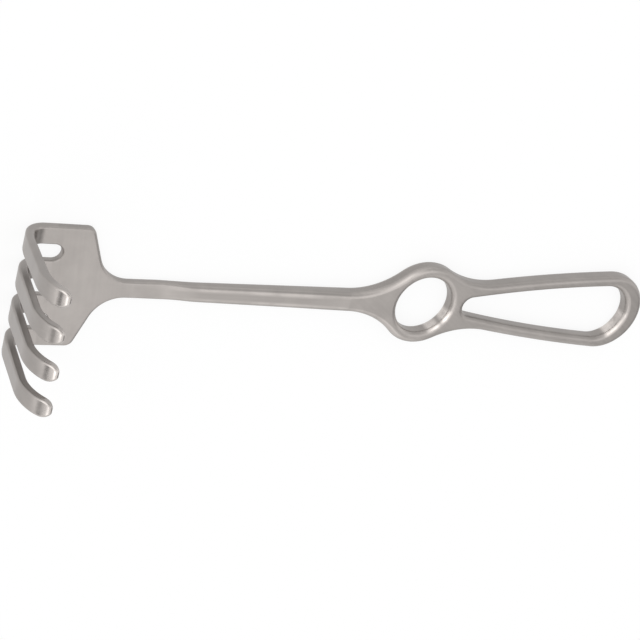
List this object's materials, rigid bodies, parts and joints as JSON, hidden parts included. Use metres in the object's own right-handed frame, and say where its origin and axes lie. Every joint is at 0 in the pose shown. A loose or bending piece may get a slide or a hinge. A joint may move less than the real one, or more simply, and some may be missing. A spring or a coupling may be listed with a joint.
{
  "type": "rake retractor",
  "caption": "Hand-held surgical rake retractor: blunt square-on prongs on a flat blade, slim shank, round finger ring and open teardrop handle loop, all in satin steel.",
  "frame": {"origin": "middle of the overall length and width, on the flat back that the retractor lies on", "axes": "+X along the tool from the rake to the handle loop, +Y across the prongs, +Z the way the prongs point"},
  "size_m": [0.2542, 0.0448, 0.0473],
  "materials": {
    "satin_steel": "satin, glass-bead blasted then fine brushed, with brighter rubbed edges"
  },
  "bodies": {
    "root": {"rake_plate": "satin_steel", "prong_1": "satin_steel", "prong_2": "satin_steel", "prong_3": "satin_steel", "prong_4": "satin_steel", "neck": "satin_steel", "shank": "satin_steel", "finger_ring": "satin_steel", "handle_loop": "satin_steel"}
  },
  "joints": []
}
